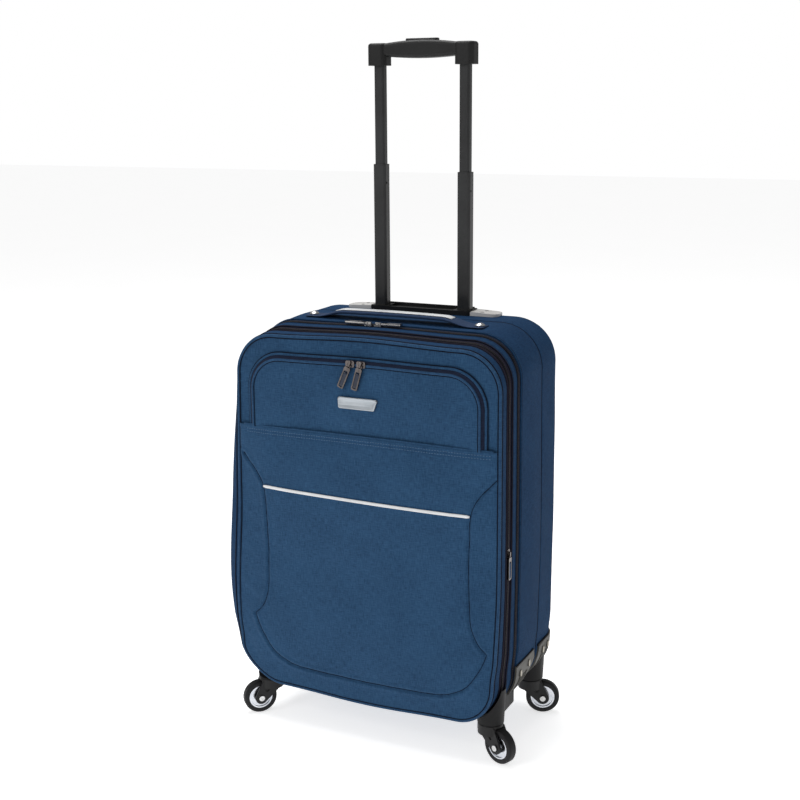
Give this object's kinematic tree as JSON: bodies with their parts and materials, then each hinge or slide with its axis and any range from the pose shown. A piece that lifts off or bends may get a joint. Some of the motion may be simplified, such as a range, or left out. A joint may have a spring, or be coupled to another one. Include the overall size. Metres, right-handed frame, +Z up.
{
  "type": "softside upright suitcase",
  "caption": "Softside expandable cabin suitcase with a zipped front cover, pockets, telescopic handle and swivelling casters.",
  "frame": {"origin": "on the floor, under the middle of the case", "axes": "+X to the case's right as seen from the front, +Y to the rear, +Z up; the cover faces -Y"},
  "size_m": [0.3986, 0.2148, 0.8902],
  "materials": {
    "shell_fabric": "navy blue twill polyester",
    "panel_fabric": "navy blue twill polyester",
    "piping": "navy blue covered piping",
    "handle_fabric": "padded navy blue webbing",
    "lining": "grey lining",
    "zip_tape": "black zip tape and coil",
    "zip_metal": "dark gunmetal",
    "trim_white": "smooth white trim",
    "badge_metal": "satin silver, blank",
    "frame_plastic": "black polypropylene",
    "tube_outer": "drawn aluminium",
    "tube_black": "black satin paint",
    "base_plastic": "black moulding",
    "base_silver": "satin silver",
    "screw_metal": "bright screw and rivet heads",
    "guard_plastic": "grey moulded guard",
    "housing_plastic": "dark grey moulding",
    "fork_plastic": "black moulding",
    "wheel_tyre": "black polyurethane tread",
    "wheel_rim": "silver plated rim",
    "grip_plastic": "black soft-touch moulding",
    "button_plastic": "black moulding"
  },
  "bodies": {
    "case": {"rear_shell": "shell_fabric", "body_gusset": "shell_fabric", "main_zip_case_tape": "zip_tape", "frame_ring": "frame_plastic", "bottom_board": "frame_plastic", "trolley_cover": "lining", "outer_tubes": "tube_outer", "tube_bracket": "frame_plastic", "handle_base": "base_plastic", "handle_base_wings": "base_silver", "base_screws": "screw_metal", "corner_guard_front_left": "guard_plastic", "corner_guard_front_right": "guard_plastic", "corner_guard_back_left": "guard_plastic", "corner_guard_back_right": "guard_plastic", "caster_housings": "housing_plastic", "carry_handle_tabs": "handle_fabric", "handle_rivets": "screw_metal"},
    "cover": {"main_zip_cover_tape": "zip_tape", "cover_gusset": "shell_fabric", "expander_rear_tape": "zip_tape", "expansion_gusset": "shell_fabric"},
    "front_panel": {"expander_front_tape": "zip_tape", "front_gusset": "shell_fabric", "front_board": "panel_fabric", "front_piping": "piping", "upper_pocket": "panel_fabric", "pocket_zip_tape": "zip_tape", "lower_pocket": "panel_fabric", "pocket_trim": "trim_white", "badge": "badge_metal"},
    "telescopic_handle": {"grip": "grip_plastic", "upper_tubes": "tube_black"},
    "release_button": {"release_button": "button_plastic"},
    "middle_tube_left": {"middle_tube_left": "tube_black"},
    "middle_tube_right": {"middle_tube_right": "tube_black"},
    "carry_handle": {"carry_handle": "handle_fabric", "carry_handle_stripe": "trim_white"},
    "swivel_front_left": {"caster_fork_front_left": "fork_plastic"},
    "wheel_front_left": {"tyre_front_left": "wheel_tyre", "rim_front_left": "wheel_rim"},
    "swivel_front_right": {"caster_fork_front_right": "fork_plastic"},
    "wheel_front_right": {"tyre_front_right": "wheel_tyre", "rim_front_right": "wheel_rim"},
    "swivel_back_left": {"caster_fork_back_left": "fork_plastic"},
    "wheel_back_left": {"tyre_back_left": "wheel_tyre", "rim_back_left": "wheel_rim"},
    "swivel_back_right": {"caster_fork_back_right": "fork_plastic"},
    "wheel_back_right": {"tyre_back_right": "wheel_tyre", "rim_back_right": "wheel_rim"},
    "slider_main_left": {"slider_main_left": "zip_metal"},
    "pull_main_left": {"pull_main_left": "zip_metal"},
    "slider_main_right": {"slider_main_right": "zip_metal"},
    "pull_main_right": {"pull_main_right": "zip_metal"},
    "slider_expander": {"slider_expander": "zip_metal"},
    "pull_expander": {"pull_expander": "zip_metal"},
    "slider_pocket_left": {"slider_pocket_left": "zip_metal"},
    "pull_pocket_left": {"pull_pocket_left": "zip_metal"},
    "slider_pocket_right": {"slider_pocket_right": "zip_metal"},
    "pull_pocket_right": {"pull_pocket_right": "zip_metal"}
  },
  "joints": [
    {"name": "cover_open", "type": "hinge", "parent": "case", "child": "cover", "pos_m": [-0.181, -0.04, 0.29], "axis": [0, 0, -1], "range_deg": [0, 135]},
    {"name": "front_expand", "type": "slide", "parent": "cover", "child": "front_panel", "axis": [0, -1, 0], "range_m": [0, 0.035]},
    {"name": "handle_slide", "type": "slide", "parent": "case", "child": "telescopic_handle", "axis": [0, 0, 1], "range_m": [-0.3095, 0]},
    {"name": "middle_slide_left", "type": "slide", "parent": "case", "child": "middle_tube_left", "axis": [0, 0, 1], "range_m": [-0.1862, 0]},
    {"name": "middle_slide_right", "type": "slide", "parent": "case", "child": "middle_tube_right", "axis": [0, 0, 1], "range_m": [-0.1779, 0]},
    {"name": "button_press", "type": "slide", "parent": "telescopic_handle", "child": "release_button", "axis": [0, 0, -1], "range_m": [0, 0.0025], "stiffness_N_per_m": 300},
    {"name": "carry_handle_lift", "type": "slide", "parent": "case", "child": "carry_handle", "axis": [0, 0, 1], "range_m": [0, 0.018]},
    {"name": "swivel_front_left", "type": "hinge", "parent": "case", "child": "swivel_front_left", "pos_m": [-0.161, -0.07, 0.05], "axis": [0, 0, 1], "continuous": true},
    {"name": "roll_front_left", "type": "hinge", "parent": "swivel_front_left", "child": "wheel_front_left", "pos_m": [-0.17268, -0.08235, 0.0225], "axis": [0.7266, -0.6871, 0], "continuous": true},
    {"name": "swivel_front_right", "type": "hinge", "parent": "case", "child": "swivel_front_right", "pos_m": [0.161, -0.07, 0.05], "axis": [0, 0, 1], "continuous": true},
    {"name": "roll_front_right", "type": "hinge", "parent": "swivel_front_right", "child": "wheel_front_right", "pos_m": [0.1768, -0.07629, 0.0225], "axis": [0.3697, 0.9291, 0], "continuous": true},
    {"name": "swivel_back_left", "type": "hinge", "parent": "case", "child": "swivel_back_left", "pos_m": [-0.161, 0.074, 0.05], "axis": [0, 0, 1], "continuous": true},
    {"name": "roll_back_left", "type": "hinge", "parent": "swivel_back_left", "child": "wheel_back_left", "pos_m": [-0.17689, 0.08004, 0.0225], "axis": [-0.3551, -0.9348, 0], "continuous": true},
    {"name": "swivel_back_right", "type": "hinge", "parent": "case", "child": "swivel_back_right", "pos_m": [0.161, 0.074, 0.05], "axis": [0, 0, 1], "continuous": true},
    {"name": "roll_back_right", "type": "hinge", "parent": "swivel_back_right", "child": "wheel_back_right", "pos_m": [0.17689, 0.08004, 0.0225], "axis": [-0.3551, 0.9348, 0], "continuous": true},
    {"name": "slide_main_left", "type": "slide", "parent": "case", "child": "slider_main_left", "axis": [-1, 0, 0], "range_m": [0, 0.095]},
    {"name": "swing_main_left", "type": "hinge", "parent": "slider_main_left", "child": "pull_main_left", "pos_m": [-0.0214, -0.04, 0.5414], "axis": [0, 1, 0], "range_deg": [0, 95]},
    {"name": "slide_main_right", "type": "slide", "parent": "case", "child": "slider_main_right", "axis": [1, 0, 0], "range_m": [0, 0.1]},
    {"name": "swing_main_right", "type": "hinge", "parent": "slider_main_right", "child": "pull_main_right", "pos_m": [-0.0056, -0.04, 0.5414], "axis": [0, -1, 0], "range_deg": [0, 95]},
    {"name": "slide_expander", "type": "slide", "parent": "cover", "child": "slider_expander", "axis": [0, 0, 1], "range_m": [-0.14, 0.18]},
    {"name": "swing_expander", "type": "hinge", "parent": "slider_expander", "child": "pull_expander", "pos_m": [0.1824, -0.067, 0.2726], "axis": [0, -1, 0], "range_deg": [0, 110]},
    {"name": "slide_pocket_left", "type": "slide", "parent": "front_panel", "child": "slider_pocket_left", "axis": [-1, 0, 0], "range_m": [0, 0.08]},
    {"name": "swing_pocket_left", "type": "hinge", "parent": "slider_pocket_left", "child": "pull_pocket_left", "pos_m": [-0.01457, -0.1053, 0.49972], "axis": [-0.9135, 0, 0.4067], "range_deg": [0, 110]},
    {"name": "slide_pocket_right", "type": "slide", "parent": "front_panel", "child": "slider_pocket_right", "axis": [1, 0, 0], "range_m": [0, 0.095]},
    {"name": "swing_pocket_right", "type": "hinge", "parent": "slider_pocket_right", "child": "pull_pocket_right", "pos_m": [0.00061, -0.1053, 0.49965], "axis": [-0.9613, 0, 0.2756], "range_deg": [0, 110]}
  ],
  "couplings": [
    {"joint": "middle_slide_left", "follows": "handle_slide", "ratio": 0.59838},
    {"joint": "middle_slide_right", "follows": "handle_slide", "ratio": 0.57157}
  ]
}
